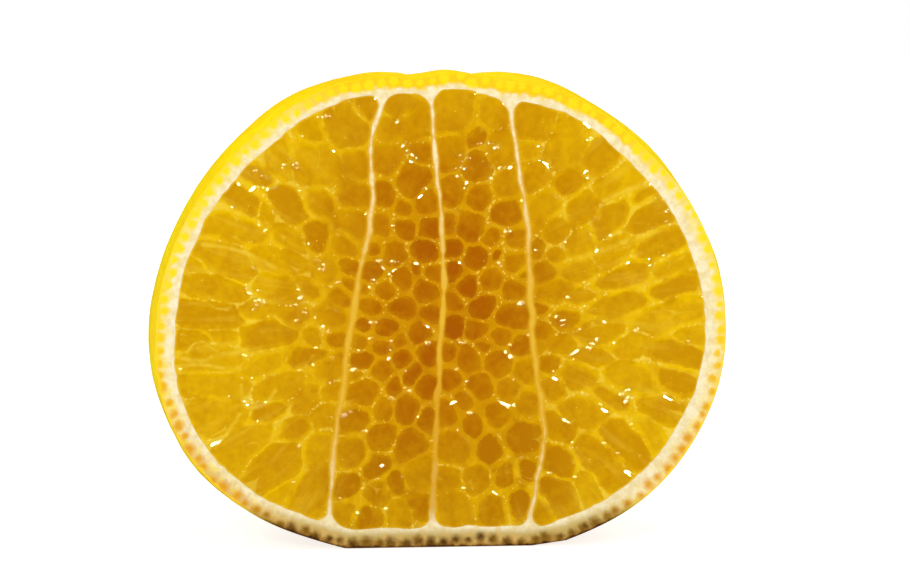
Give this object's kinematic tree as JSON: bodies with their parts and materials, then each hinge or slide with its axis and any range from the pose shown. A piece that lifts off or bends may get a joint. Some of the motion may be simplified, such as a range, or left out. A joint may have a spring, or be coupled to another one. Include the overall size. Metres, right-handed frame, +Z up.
{
  "type": "cut mandarin",
  "caption": "Mandarin cut lengthwise, standing on its flattened end: the cut face shows strips of pulp between thin membranes, in white pith and yellow peel.",
  "frame": {"origin": "under the middle of the part's box, on the surface that it stands on", "axes": "+Z up towards the stem end, +X along the width of the cut face, -Y out of the cut face"},
  "size_m": [0.0664, 0.0404, 0.0539],
  "materials": {
    "peel": "yellow citrus peel with fine oil glands, white pith at the cut",
    "pulp": "wet translucent amber juice sacs"
  },
  "bodies": {
    "root": {"peel_and_membranes": "peel", "segment_far_left": "pulp", "segment_mid_left": "pulp", "segment_mid_right": "pulp", "segment_far_right": "pulp"}
  },
  "joints": []
}
